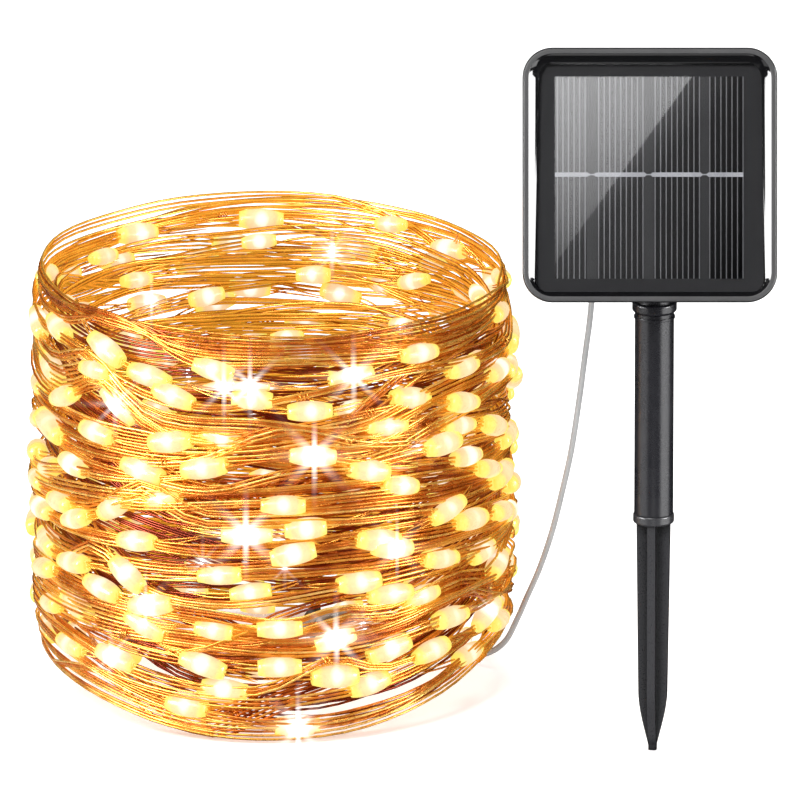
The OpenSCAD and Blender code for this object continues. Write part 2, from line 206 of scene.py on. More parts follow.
def tube(points, radius, sides, side):
    """Quads of a tube along points; side is a direction, or one for each point, off the line."""
    points = np.asarray(points, float)
    t = headings(points)
    side = np.broadcast_to(np.asarray(side, float), points.shape)
    u = unit(np.cross(t, side))
    w = np.cross(u, t)
    a = 2 * math.pi * np.arange(sides) / sides
    radius = np.broadcast_to(np.asarray(radius, float), (len(points),))
    ring = u[:, None, :] * np.cos(a)[None, :, None] + w[:, None, :] * np.sin(a)[None, :, None]
    verts = (points[:, None, :] + ring * radius[:, None, None]).reshape(-1, 3)
    i = np.arange(len(points) - 1)[:, None] * sides
    k = np.arange(sides)[None, :]
    n = (k + 1) % sides
    faces = np.stack([i + k, i + sides + k, i + sides + n, i + n], axis=-1).reshape(-1, 4)
    return verts, faces


def with_caps(verts, faces, sides):
    """Closes both ends of a tube with a middle point and quads that fold to triangles."""
    first, last = verts[:sides].mean(0), verts[-sides:].mean(0)
    verts = np.vstack([verts, first, last])
    a, b, base = len(verts) - 2, len(verts) - 1, len(verts) - 2 - sides
    k = np.arange(sides)
    n = (k + 1) % sides
    ends = [[a, p, q] for p, q in zip(k, n)] + [[b, base + q, base + p] for p, q in zip(k, n)]
    return verts, [list(f) for f in faces] + ends


def smooth_route(points, steps):
    """Catmull-Rom curve through given points."""
    p = np.asarray(points, float)
    out = []
    for i in range(len(p) - 1):
        a, b, c, d = p[max(i - 1, 0)], p[i], p[i + 1], p[min(i + 2, len(p) - 1)]
        for t in np.arange(steps) / steps:
            out.append(0.5 * (2 * b + (c - a) * t + (2 * a - 5 * b + 4 * c - d) * t * t
                              + (3 * b - a - 3 * c + d) * t ** 3))
    out.append(p[-1])
    return np.array(out)


def resampled(points, step):
    """The same line with points a step apart."""
    points = np.asarray(points, float)
    along = np.concatenate([[0], np.cumsum(np.linalg.norm(np.diff(points, axis=0), axis=1))])
    at = np.linspace(0, along[-1], int(along[-1] / step) + 1)
    return np.stack([np.interp(at, along, points[:, k]) for k in range(3)], axis=1)


def smoothstep(x):
    """0 below 0, 1 above 1, and an easy curve between."""
    x = np.clip(x, 0, 1)
    return x * x * (3 - 2 * x)


# ---------------------------------------------------------------------------- lead

LEAD_D = 2.4 * MM
BOOT_MOUTH = (-0.018, 0, 0.219)
NECK_TAIL_ROUTE = [
    (-0.018, 0, 0.216), (-0.018, 0.0005, 0.211), (-0.0185, 0.002, 0.206), (-0.0195, 0.0045, 0.201),
    (-0.0205, 0.0075, 0.196), (-0.0215, 0.0105, 0.191), (-0.0224, 0.0126, 0.187),
]
LEAD_ROUTE = [
    (-0.0227, 0.0133, 0.1854), (-0.023, 0.015, 0.181), (-0.0237, 0.018, 0.173),
    (-0.025, 0.0235, 0.161), (-0.0275, 0.031, 0.138), (-0.0305, 0.041, 0.114),
    (-0.034, 0.051, 0.094), (-0.038, 0.064, 0.073), (-0.043, 0.078, 0.053),
    (-0.048, 0.091, 0.037), (-0.052, 0.099, 0.025), (-0.057, 0.107, 0.013),
    (-0.065, 0.1145, 0.0055), (-0.076, 0.1253, 0.002), (-0.088, 0.1372, 0.0012),
    (-0.1044, 0.1536, 0.0012),
]
END_ROUTE = [
    (-0.118, 0.1541, 0.0108), (-0.124, 0.1542, 0.0109), (-0.130, 0.1546, 0.0106),
    (-0.135, 0.1562, 0.0082), (-0.1384, 0.1596, 0.005), (-0.1398, 0.1634, 0.003),
    (-0.1394, 0.1675, 0.0025),
]
SPARE_AT = (-0.118, 0.140)
SPARE_OUTER = 19.2 * MM
SPARE_INNER = 9.6 * MM
SPARE_TURNS = 18.125
SPARE_STEPS = 48  # points in each turn
TURNS_A_LAYER = 4
LIFT = 0.04  # share of a layer in which the lead climbs to the next one
LAST_LIFT = 16.1  # turns, after which it stays in its layer
LEAD_STEP = 1.6 * MM
LEAD_SIDES = 10


def spare_coil():
    """The spare length of the lead, wound in and out, layer on layer, from its route's end."""
    turn = np.arange(0, SPARE_TURNS, 1 / SPARE_STEPS)
    layer = np.floor(turn / TURNS_A_LAYER)
    within = turn / TURNS_A_LAYER - layer
    inward = np.where(layer % 2 == 0, within, 1 - within)
    r = SPARE_OUTER + (SPARE_INNER - SPARE_OUTER) * inward
    lift = smoothstep((within - (1 - LIFT)) / LIFT)
    z = LEAD_D / 2 + LEAD_D * np.where(turn < LAST_LIFT, layer + lift, layer)
    angle = math.pi / 4 + 2 * math.pi * turn
    x, y = SPARE_AT[0] + r * np.cos(angle), SPARE_AT[1] + r * np.sin(angle)
    return np.stack([x, y, z], axis=1)


def make_lead(material):
    """The lead as one cord, from the boot behind the panel to the splice, its spare wound up."""
    hanging = np.vstack([[BOOT_MOUTH], NECK_TAIL_ROUTE, LEAD_ROUTE[:-1]])
    path = np.vstack([smooth_route(hanging, 6)[:-1], smooth_route(LEAD_ROUTE[-2:], 4)[:-1],
                      spare_coil(), smooth_route(END_ROUTE, 6)])
    path = resampled(path + ASIDE, LEAD_STEP)
    verts, faces = tube(path, LEAD_D / 2, LEAD_SIDES, parallel_side(path))
    verts, faces = with_caps(verts, faces, LEAD_SIDES)
    lead = add_mesh("lead", verts, faces, material)
    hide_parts("lead_neck_tail", "lead_cord", "lead_coil", "lead_end_run")
    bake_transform(lead)


def parallel_side(path):
    """A direction off the line at each point that never twists."""
    t = headings(path)
    side = np.empty_like(path)
    s = np.cross(t[0], (0.3, 0.9, 0.1))
    for i, d in enumerate(t):
        s = s - d * s.dot(d)
        s = s / np.linalg.norm(s)
        side[i] = s
    return side


# ---------------------------------------------------------------------------- light string

RING_AT = np.array([-0.152, 0.100, 0.0]) + ASIDE
RING_R = 98 * MM
RING_INNER = 84 * MM
RING_H = 177 * MM
TURNS = 90
BUNDLE = 5
STRAYS = 110
SLANTS = 22
STEPS_A_TURN = 64
WIRE_D = 1.12 * MM
WIRES = 3
WIRE_SIDES = 5
WIRE_GAP = 1.6 * MM
START_BEND = [
    (-0.1353, 0.1877, 0.0025), (-0.1346, 0.1913, 0.0028), (-0.1363, 0.1945, 0.0032),
    (-0.1405, 0.1955, 0.0036),
]
BARE_START = 12  # first points of the string's line, on which no drop stands
START_ANGLE = math.radians(86)
BUNDLE_SPAN = (14, 165)  # mm, height of the lowest and the highest bundle
# the order in which the bundles are wound, counted from the foot
BUNDLE_ORDER = [0, 3, 1, 5, 2, 4, 8, 6, 11, 9, 13, 17, 14, 16, 12, 15, 10, 7]
BUNDLE_DEPTHS = [97.4, 87.8, 92.4]  # mm from the ring's axis, taken in turn
TOP_BUNDLE = (2.6, 170.5, 94.5)  # pitch, height and depth in mm
SWING_SPAN = (11, 171)  # mm, heights between which the bundles swing up and down
SWINGS = (1.2, 12.5)  # mm, least and most swing
CHANGE = 0.32  # turns in which the string moves over to the next bundle
# waves in one turn, and their size in mm upwards and outwards
WAVES = ((1.04, 1.2, 0.9), (2.07, 1.1, 0.7), (3.93, 0.8, 0.5), (6.05, 0.45, 0.4),
         (11.2, 0.2, 0.25))
TOP_SOFT = 176  # mm, above which the winding is pressed down
TOP_PRESS = 0.75
DEPTH_LEAST = 85.4  # mm from the ring's axis
FIRST_TURN = (3.8, 95.3)  # height and depth in mm where the winding starts
CROSSINGS = 110
WRAPS = 32
WRAP_R = 0.38 * MM
WRAP_FROM = 94.5 * MM  # wraps stand only on turns this far from the ring's axis
TAIL_R = 0.42 * MM
TAIL_STEPS = 8
TAIL_SINK = 5.5 * MM
PAIR_GAP = 0.65 * MM
END_SPAN = (-1.5, 4.5)  # mm along the wire, past its last point
END_R = (0.6, 1.5, 2.0, 2.1, 2.1, 2.1, 2.0, 1.5, 0.6)
END_SIDES = 12
DROPS = 200
INNER_DROPS = 90
GOLDEN = math.radians(137.508)
DROP_LEN = 18 * MM
DROP_D = 8.4 * MM
DROP_NECK = 0.66  # a drop's thickness at its ends, as a share of its middle's
DROP_SIDES = 14
DROP_RINGS = 11
BRIGHT_EVERY = 6  # each sixth drop glints
GLINT = "glint"  # name of the extra pass that only the glints use
CORE = 0.18  # share of half a drop's length that its glint comes from
SPARK = 160.0


def ring_outer(z):
    """Outer radius of the wound wire, as in the CAD ring."""
    return RING_R - 3 * MM + 3 * MM * np.sin(np.pi * np.clip(z / RING_H, 0, 1))


def tuck(z):
    """How far, in mm, the winding draws in towards its foot at height z in mm."""
    return 5 * (1 - smoothstep(z / 45))


def settled(z, angle):
    """Height in mm once the foot has risen at both sides and the rim has dipped at the front."""
    foot = (17 + 2 * np.cos(angle)) * np.cos(angle) ** 2
    rim = 4.5 * np.sin(angle) - 1.5
    return z + foot * (1 - smoothstep(z / 150)) + rim * smoothstep(z / 177)


def wound_bundles(turn, angle):
    """Height and depth in mm of the plain winding: bundles of near-parallel, wavy turns."""
    count = TURNS // BUNDLE
    height = np.linspace(*BUNDLE_SPAN, count) + rng.uniform(-1.5, 1.5, count)
    depth = np.array(BUNDLE_DEPTHS)[np.arange(count) % 3] + rng.uniform(-0.7, 0.7, count)
    pitch = rng.uniform(4.5, 5.1, count)
    pitch[-1], height[-1], depth[-1] = TOP_BUNDLE
    height, depth, pitch = height[BUNDLE_ORDER], depth[BUNDLE_ORDER], pitch[BUNDLE_ORDER]
    room = np.minimum(height - SWING_SPAN[0], SWING_SPAN[1] - height)
    swing = np.clip(room * 0.4, *SWINGS) * rng.uniform(0.65, 1.0, count)
    now = np.floor(turn / BUNDLE).astype(int)
    after = np.minimum(now + 1, count - 1)
    at = turn - now * BUNDLE
    over = smoothstep((at - (BUNDLE - CHANGE)) / CHANGE)
    lay = pitch * rng.choice([-1, 1], count)
    z = height[now] * (1 - over) + height[after] * over
    z = z + (at - BUNDLE / 2) * lay[now] * (1 - over) - BUNDLE / 2 * lay[after] * over
    phase = rng.uniform(0, 2 * math.pi, (3, count))
    calm = 1 - 0.6 * smoothstep((np.sin(angle) + 0.1) / 0.9)  # straighter at the back

    def flow(k):
        return swing[k] * calm * (0.7 * np.tanh(2.4 * np.sin(angle + phase[0][k]))
                                  + 0.5 * np.sin(2 * angle + phase[1][k])
                                  + 0.22 * np.sin(3 * angle + phase[2][k]))

    z = z + flow(now) * (1 - over) + flow(after) * over
    r = depth[now] * (1 - over) + depth[after] * over
    return z, r


def with_strays(turn, z, r):
    """Small waves, single strands that stray, and groups of strands that slant, all in mm."""
    edge = 0.35 + 0.65 * smoothstep(np.minimum(z, 178 - z) / 14)
    for f, dz, dr in WAVES:
        z = z + dz * edge * np.sin(2 * math.pi * f * turn + rng.uniform(0, 6))
        r = r + dr * np.sin(2 * math.pi * f * turn + rng.uniform(0, 6))
    places = rng.uniform(0.5, TURNS - 0.5, STRAYS)
    rises = rng.normal(0, 7, STRAYS)
    widths = rng.uniform(0.045, 0.11, STRAYS)
    for place, rise, width in zip(places, rises, widths):
        bend = np.exp(-((turn - place) / width) ** 2)
        z = z + rise * edge * bend
        r = r + 1.6 * bend
    for first in rng.uniform(2, TURNS - 6, SLANTS):
        rise = rng.choice([-1, 1]) * rng.uniform(9, 17)
        place, width = int(first) + rng.normal(0.51, 0.17), rng.uniform(0.028, 0.05)
        for k in range(rng.randint(2, 5)):
            bend = np.exp(-((turn - place - k * 1.004) / width) ** 2)
            z = z + rise * edge * bend
            r = r + 1.4 * bend
    return z, r


def string_path():
    """The whole string's line, from the splice to its sealed end."""
    turn = np.arange(0, TURNS, 1 / STEPS_A_TURN)
    angle = START_ANGLE + 2 * math.pi * turn
    z, r = with_strays(turn, *wound_bundles(turn, angle))
    z = np.maximum(z, 2.2)
    z = z - TOP_PRESS * np.maximum(z - TOP_SOFT, 0)
    z = settled(z, angle)
    r = np.clip(r, DEPTH_LEAST, ring_outer(z * MM) / MM + 1.8) - tuck(z)
    start = smoothstep(turn / 0.2)
    z = FIRST_TURN[0] * (1 - start) + z * start
    r = FIRST_TURN[1] * (1 - start) + r * start
    x, y = RING_AT[0] + r * MM * np.cos(angle), RING_AT[1] + r * MM * np.sin(angle)
    return np.vstack([smooth_route(START_BEND, 3) + ASIDE, np.stack([x, y, z * MM], axis=1)])


def around(points):
    """Outward direction from the ring's axis at each point."""
    return unit((points - RING_AT) * (1, 1, 0))


def glow_at(points, lamps):
    """How near each point is to the lit drops, from 0 to about 1; it sets the wires' painted glow.
    """
    reach, batch = 5.5 * MM, 4000
    total = np.zeros(len(points))
    for k in range(0, len(points), batch):
        p = points[k:k + batch]
        d2 = ((p[:, None, :] - lamps[None, :, :]) ** 2).sum(2)
        total[k:k + batch] = np.exp(-d2 / reach ** 2).sum(1)
    return 1 - np.exp(-1.1 * total)


def inward(verts, middles):
    """How squarely each point of a wire looks at the ring's axis, 0 on its outer side."""
    return np.clip(-(unit(verts - middles) * around(middles)).sum(1), 0, 1)


def make_string(path, lamps, material):
    """The string's three wires side by side along its line, crossing over here and there."""
    t = headings(path)
    out = around(path)
    up = unit(np.cross(out, t))
    up[up[:, 2] < 0] *= -1
    at = np.arange(len(path)) / STEPS_A_TURN
    lean = 0.35 * np.sin(2 * math.pi * 0.93 * at) + 0.3 * np.sin(2 * math.pi * 2.3 * at + 1)
    for crossing in np.sort(rng.uniform(1, TURNS - 1, CROSSINGS)):
        lean = lean + math.pi * smoothstep((at - crossing) / 0.07)
    across = up * np.cos(lean)[:, None] + out * np.sin(lean)[:, None]
    spread = WIRE_GAP * (0.95 + 0.2 * np.sin(2 * math.pi * 3.1 * at))
    parts, lines, values = [], [], {"glow": [], "depth": [], "tone": []}
    for k in range(WIRES):
        off = (k - (WIRES - 1) / 2) * spread
        wander = 0.3 * MM * np.sin(2 * math.pi * (5.3 + k) * at + 2 * k)
        line = path + across * (off + 0.6 * wander)[:, None] + out * wander[:, None]
        line[:, 2] = np.maximum(line[:, 2], WIRE_D / 2)
        parts.append(tube(line, WIRE_D / 2, WIRE_SIDES, (0, 0, 1)))
        lines.append(line)
        r = np.linalg.norm((line - RING_AT)[:, :2], axis=1)
        # glow sets the wires' painted glow near the drops; depth, how far under the outer surface
        # a wire lies, sets their painted shade
        values["glow"].append(glow_at(line, lamps))
        outer = ring_outer(line[:, 2]) - tuck(line[:, 2] / MM) * MM
        values["depth"].append(np.clip((outer - r) / (7 * MM), 0, 1))
        values["tone"].append(0.5 + 0.5 * np.sin(0.61 * at + 2.1 * k))
    verts, faces = joined(parts)
    values = {key: np.repeat(np.concatenate(v), WIRE_SIDES) for key, v in values.items()}
    # which way each point faces, for the painted glow on the ring's inner side
    values["inner"] = inward(verts, np.repeat(np.vstack(lines), WIRE_SIDES, axis=0))
    string = add_mesh("light_string", verts, faces, material, values=values)
    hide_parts("wire_coil")
    on_root(string)
    return string


def on_root(piece):
    """The piece stays with the stake."""
    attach(piece, "root")


def lamps_along(centres, along):
    """Three points of light in each drop."""
    return np.vstack([centres + along * d * MM for d in (-6.5, 0, 6.5)])


def drop_places(path):
    """Centre and direction of each lit drop, outer ones first, along the wire under it."""
    ring = path[BARE_START:]
    t = headings(ring)
    r = np.linalg.norm((ring - RING_AT)[:, :2], axis=1)
    centres, along = [], []
    edge = 8 * MM
    for i in range(DROPS + INNER_DROPS):
        outer = i < DROPS
        k, total = (i, DROPS) if outer else (i - DROPS, INNER_DROPS)
        z = edge + (RING_H - 2 * edge) * (k + 0.5) / total + rng.uniform(-4, 4) * MM
        z = min(max(z, 5 * MM), RING_H - 4 * MM)
        angle = k * GOLDEN + rng.uniform(-0.11, 0.11) + (0 if outer else 1.1)
        radius = ring_outer(z) + rng.uniform(-2.6, 1.2) * MM if outer else RING_INNER + 1.5 * MM
        z = settled(z / MM, angle) * MM
        radius -= tuck(z / MM) * MM
        centre = RING_AT + np.array([radius * math.cos(angle), radius * math.sin(angle), z])
        gap = np.linalg.norm(ring - centre, axis=1) + np.abs(r - radius) * 0.5
        d = t[int(gap.argmin())]
        tangent = np.array([-math.sin(angle), math.cos(angle), 0])
        d = tangent * d.dot(tangent) + np.array([0, 0, d[2] + rng.normal(0, 0.13)])
        centres.append(centre)
        along.append(unit(d))
    return np.array(centres), np.array(along)


def drop_parts(centres, along, scale):
    """Barrel-shaped drops with cut ends and their own small differences."""
    x = np.linspace(-1, 1, DROP_RINGS)
    parts, axis_value = [], []
    for centre, d, s in zip(centres, along, scale):
        half = DROP_LEN / 2 * rng.uniform(0.88, 1.04) * s
        fat = DROP_D / 2 * rng.uniform(0.92, 1.03) * s
        lop = rng.uniform(-0.12, 0.12)
        r = fat * (DROP_NECK + (1 - DROP_NECK) * np.clip(1 - np.abs(x + lop) ** 2.2, 0, 1))
        xs = np.concatenate([[-0.985], x, [0.985]])
        rs = np.concatenate([[r[0] * 0.55], r, [r[-1] * 0.55]])
        line = centre + np.outer(xs * half, d)
        parts.append(tube(line, rs, DROP_SIDES, (0, 0, 1)))
        axis_value.append(np.repeat(np.abs(xs), DROP_SIDES))
    return parts, np.concatenate(axis_value)


def make_drops(name, centres, along, scale, material):
    """One piece that holds all the drops of the ring's outer or inner side."""
    parts, value = drop_parts(centres, along, scale)
    verts, faces = joined(parts)
    size = DROP_SIDES * (DROP_RINGS + 2)
    ends = []
    for base in range(0, size * len(parts), size):
        ends.append(list(range(base, base + DROP_SIDES)))
        ends.append(list(range(base + size - 1, base + size - DROP_SIDES - 1, -1)))
    heat = rng.choice([0.0, 0.35], len(parts), p=[0.65, 0.35])
    heat[2::BRIGHT_EVERY] = 1.0
    drops = add_mesh(name, verts, faces + ends, material,
                     values={"from_middle": value, "hot": np.repeat(heat, size)})
    # the drops light nothing by diffuse; the glow round them is painted into the wires' material
    drops.visible_diffuse = False
    on_root(drops)
    return drops


def make_ties(name, lines, radius, sides, lamps, tone, material):
    """One piece from many short wires, with a painted glow from the drops near them; sides is one
    for each.
    """
    parts = [tube(line, radius, WIRE_SIDES, side) for line, side in zip(lines, sides)]
    verts, faces = joined(parts)
    glow = np.repeat(glow_at(np.vstack(lines), lamps), WIRE_SIDES)
    ties = add_mesh(name, verts, faces, material,
                    values={"glow": glow, "depth": glow * 0, "inner": glow * 0,
                            "tone": glow * 0 + tone})
    on_root(ties)
    return ties


def make_tails(centres, along, lamps, material):
    """The pairs of wire that leave each end of a drop and sink back among the turns."""
    s = np.linspace(0, 1, TAIL_STEPS)
    lines = []
    for centre, d in zip(centres, along):
        out = around(centre)
        up = unit(np.cross(out, d))
        for end in (-1, 1):
            reach = rng.uniform(15, 24) * MM
            sag = rng.uniform(-2.5, 2.5) * MM
            for wire in (-1, 1):
                a = DROP_LEN / 2 * 0.8 + reach * s
                line = (centre + end * np.outer(a, d) - np.outer((s ** 1.4) * TAIL_SINK, out)
                        + np.outer(sag * s * s + wire * PAIR_GAP * (1 + 0.4 * np.sin(5 * s)), up)
                        - np.outer(a * a / (2 * RING_R), out))
                line[:, 2] = np.maximum(line[:, 2], WIRE_D / 2)
                lines.append(line)
    return make_ties("drop_tails", lines, TAIL_R * (1 - 0.8 * s ** 6), [(0, 0, 1)] * len(lines),
                     lamps, 0.6, material)


def make_wraps(path, lamps, material):
    """Small tight wraps of wire that tie some of the turns together."""
    t = headings(path)
    out = around(path)
    radius = np.linalg.norm((path - RING_AT)[:, :2], axis=1)
    near = np.flatnonzero(radius > WRAP_FROM)
    near = near[(near > 40) & (near < len(path) - 40)]
    lines, sides = [], []
    for i in rng.choice(near, WRAPS, replace=False):
        turns = rng.uniform(2.2, 3.6)
        s = np.linspace(0, 1, int(turns * 9))
        u = out[i]
        w = np.cross(t[i], u)
        a = 2 * math.pi * turns * s
        size = rng.uniform(1.5, 2.3) * MM
        spread = rng.uniform(3.0, 5.5) * MM
        line = (path[i] + np.outer((s - 0.5) * spread, t[i])
                + size * (np.outer(np.cos(a), u) * 0.7 + np.outer(np.sin(a), w)))
        line[:, 2] = np.maximum(line[:, 2], WIRE_D / 2)
        lines.append(line)
        sides.append(t[i] + 0.02)
    return make_ties("wire_wraps", lines, WRAP_R, sides, lamps, 0.4, material)


def make_end(path, material):
    """The sealed end of the string."""
    line = path[-1] + np.outer(np.linspace(*END_SPAN, len(END_R)) * MM, headings(path)[-1])
    verts, faces = tube(line, np.array(END_R) * MM, END_SIDES, (0, 0, 1))
    verts, faces = with_caps(verts, faces, END_SIDES)
    end = add_mesh("string_end", verts, faces, material)
    on_root(end)
    return end


def make_light_string(wire, resin):
    """The string with everything on it: wires, drops, their tails, wraps and the sealed end."""
    path = string_path()
    centres, along = drop_places(path)
    lamps = lamps_along(centres, along)
    string = make_string(path, lamps, wire)
    outer_scale = rng.uniform(0.98, 1.12, DROPS)
    inner_scale = rng.uniform(0.8, 0.95, INNER_DROPS)
    outer = make_drops("led_drops_outer", centres[:DROPS], along[:DROPS], outer_scale, resin)
    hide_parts("led_drops")
    inner = make_drops("led_drops_inner", centres[DROPS:], along[DROPS:], inner_scale, resin)
    tails = make_tails(centres[:DROPS], along[:DROPS], lamps, wire)
    wraps = make_wraps(path, lamps, wire)
    string_end = make_end(path, wire)


# ---------------------------------------------------------------------------- head pieces

LEAN = math.radians(16)
HINGE_Z = 219 * MM
HEAD_MID = 21.0


def on_head(points):
    """Points in the head's own millimetres to the row frame, leaning back about the hinge."""
    x, y, z = (np.asarray(points, float) * MM).T
    c, s = math.cos(LEAN), math.sin(LEAN)
    return np.stack([x, c * y + s * z, -s * y + c * z + HINGE_Z], axis=1) + ASIDE


def rounded_loop(half_w, half_h, corner, y, mid, arc=12):
    """Loop of points round a square with round corners, facing -Y."""
    out = []
    for q, (sx, sz) in enumerate(((1, 1), (-1, 1), (-1, -1), (1, -1))):
        for k in range(arc + 1):
            a = math.pi / 2 * (q + k / arc)
            out.append((sx * (half_w - corner) + corner * math.cos(a), y,
                        mid + sz * (half_h - corner) + corner * math.sin(a)))
    return np.array(out)


def lofted(loops):
    """Closed skin over loops that have the same number of points."""
    n, last = len(loops[0]), (len(loops) - 1) * len(loops[0])
    faces = [[i * n + k, i * n + (k + 1) % n, (i + 1) * n + (k + 1) % n, (i + 1) * n + k]
             for i in range(len(loops) - 1) for k in range(n)]
    return np.vstack(loops), faces + [list(range(n - 1, -1, -1)), list(range(last, last + n))]


# millimetres on the head: half width, half height, corner, y, rise of the middle, and how much
# narrower each side is at the top
FRAME_SECTIONS = [
    (50.0, 50.0, 11.0, -21.0, 0, 0), (50.6, 50.6, 11.6, -21.3, 0, 0),
    (51.0, 51.0, 12.0, -22.2, 0, 0), (51.0, 51.0, 12.0, -27.9, 0, 0),
    (50.85, 50.85, 11.85, -28.45, 0, 0), (50.6, 50.6, 11.6, -28.8, 0, 0),
    (50.3, 50.3, 11.3, -28.97, 0, 0), (50.1, 50.1, 11.1, -29.0, 0, 0),
    (48.8, 48.8, 9.8, -29.0, 0, 0), (48.6, 48.6, 9.6, -28.96, 0, 0),
    (48.4, 48.4, 9.4, -28.8, 0, 0), (48.2, 48.2, 9.1, -28.65, 0, 0),
    (47.4, 47.4, 8.0, -28.05, -0.3, 0.45), (46.7, 46.5, 6.9, -27.48, -0.75, 0.9),
    (46.55, 46.3, 6.5, -27.36, -0.85, 1.1), (46.25, 45.95, 5.8, -27.12, -1.05, 1.8),
    (46.2, 45.9, 5.5, -27.0, -1.1, 1.85), (46.2, 45.9, 5.5, -26.8, -1.1, 1.85),
    (45.8, 45.8, 5.0, -26.7, -1.2, 0), (45.8, 45.8, 5.0, -22.6, -1.2, 0),
]
LIP_ROWS = (5, 9)  # the rows of faces between these sections are the outer lip
POST_AT = 40
POST_Y = (-20.6, -20.0, -15.0, -11.4, -11.0)
POST_R = (3.0, 3.0, 2.9, 2.8, 2.2)


def make_front_frame(material, lip_material):
    """The front frame as one tray: rolled outer edge, flat lip, glossy slope, pocket and floor."""
    loops = []
    for half_w, half_h, corner, y, rise, taper in FRAME_SECTIONS:
        loop = rounded_loop(half_w, half_h, corner, y, HEAD_MID + rise)
        up = np.clip((loop[:, 2] - HEAD_MID) / 90 + 0.5, 0, 1)
        loop[:, 0] *= 1 - taper * up / half_w
        loops.append(loop)
    verts, faces = lofted(loops)
    frame_piece = add_mesh("front_frame_shell", on_head(verts), faces, material)
    frame_piece.data.materials.append(lip_material)
    first, last = (row * len(loops[0]) for row in LIP_ROWS)
    for face in frame_piece.data.polygons[first:last]:
        face.material_index = 1
    posts = []
    for x in (-POST_AT, POST_AT):
        for z in (HEAD_MID - POST_AT, HEAD_MID + POST_AT):
            line = on_head([(x, y, z) for y in POST_Y])
            posts.append(with_caps(*tube(line, np.array(POST_R) * MM, 24, (1, 0, 0)), 24))
    verts, faces = joined(posts)
    post_piece = add_mesh("frame_posts", verts, faces, material)
    for piece in (frame_piece, post_piece):
        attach(piece, "head")
    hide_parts("front_frame")
    sharpen(frame_piece, 32)


def sharpen(obj, degrees):
    """Smooth shading with crisp edges past the angle."""
    bpy.context.view_layer.objects.active = obj
    obj.select_set(True)
    bpy.ops.object.shade_smooth_by_angle(angle=math.radians(degrees))
    obj.select_set(False)


def slab(x0, x1, y0, y1, z0, z1):
    """A box."""
    v = [(x, y, z) for x in (x0, x1) for y in (y0, y1) for z in (z0, z1)]
    f = [(0, 1, 3, 2), (4, 6, 7, 5), (0, 4, 5, 1), (2, 3, 7, 6), (0, 2, 6, 4), (1, 5, 7, 3)]
    return np.array(v, float), np.array(f, int)


CELL_FRONT = -24.5
CELL_MID = HEAD_MID - 1.0
CELL_HALF = 40.4
FINGER_PITCH = 2.22
FINGER_W = 0.42
FINGER_PROUD = 0.04
FINGER_RUNS = ((-37.0, 6), (-20.5, 9), (2.1, 9), (24.0, 7))  # first x and count on each strip
CELLS_LEFT, CELLS_RIGHT = -38.0, 37.4
BUS_Z = HEAD_MID + 0.2
BUS_HALF = 0.88
BUS_PROUD = 0.15
BUS_GAPS = (-23.2, -0.5, 21.9)
BUS_PINCH = ((-1.55, BUS_HALF), (-1.2, 0.5), (-0.75, 0.2), (0.75, 0.2), (1.2, 0.5),
             (1.55, BUS_HALF))  # offset from the gap and half height there


def make_fingers(material):
    """The fine silver lines printed on the cells."""
    parts = []
    for first, count in FINGER_RUNS:
        for k in range(count):
            x = first + k * FINGER_PITCH
            parts.append(slab(x - FINGER_W / 2, x + FINGER_W / 2,
                              CELL_FRONT - FINGER_PROUD, CELL_FRONT,
                              CELL_MID - CELL_HALF, CELL_MID + CELL_HALF))
    verts, faces = joined(parts)
    fingers = add_mesh("cell_fingers", on_head(verts), faces, material, smooth=False)
    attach(fingers, "head")


def make_bus(material):
    """The bus ribbon, pinched to a thin link at each gap between the strips."""
    outline = [(CELLS_LEFT, BUS_HALF)]
    outline += [(gap + dx, h) for gap in BUS_GAPS for dx, h in BUS_PINCH]
    outline += [(CELLS_RIGHT, BUS_HALF)]
    front, back = CELL_FRONT - BUS_PROUD, CELL_FRONT
    corners = [(front, -1), (front, 1), (back, 1), (back, -1)]
    verts, faces = lofted([[(x, y, BUS_Z + h * k) for y, k in corners] for x, h in outline])
    bus = add_mesh("bus_ribbon", on_head(verts), faces, material, smooth=False)
    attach(bus, "head")
    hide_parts("cell_ribbons")


# ---------------------------------------------------------------------------- materials


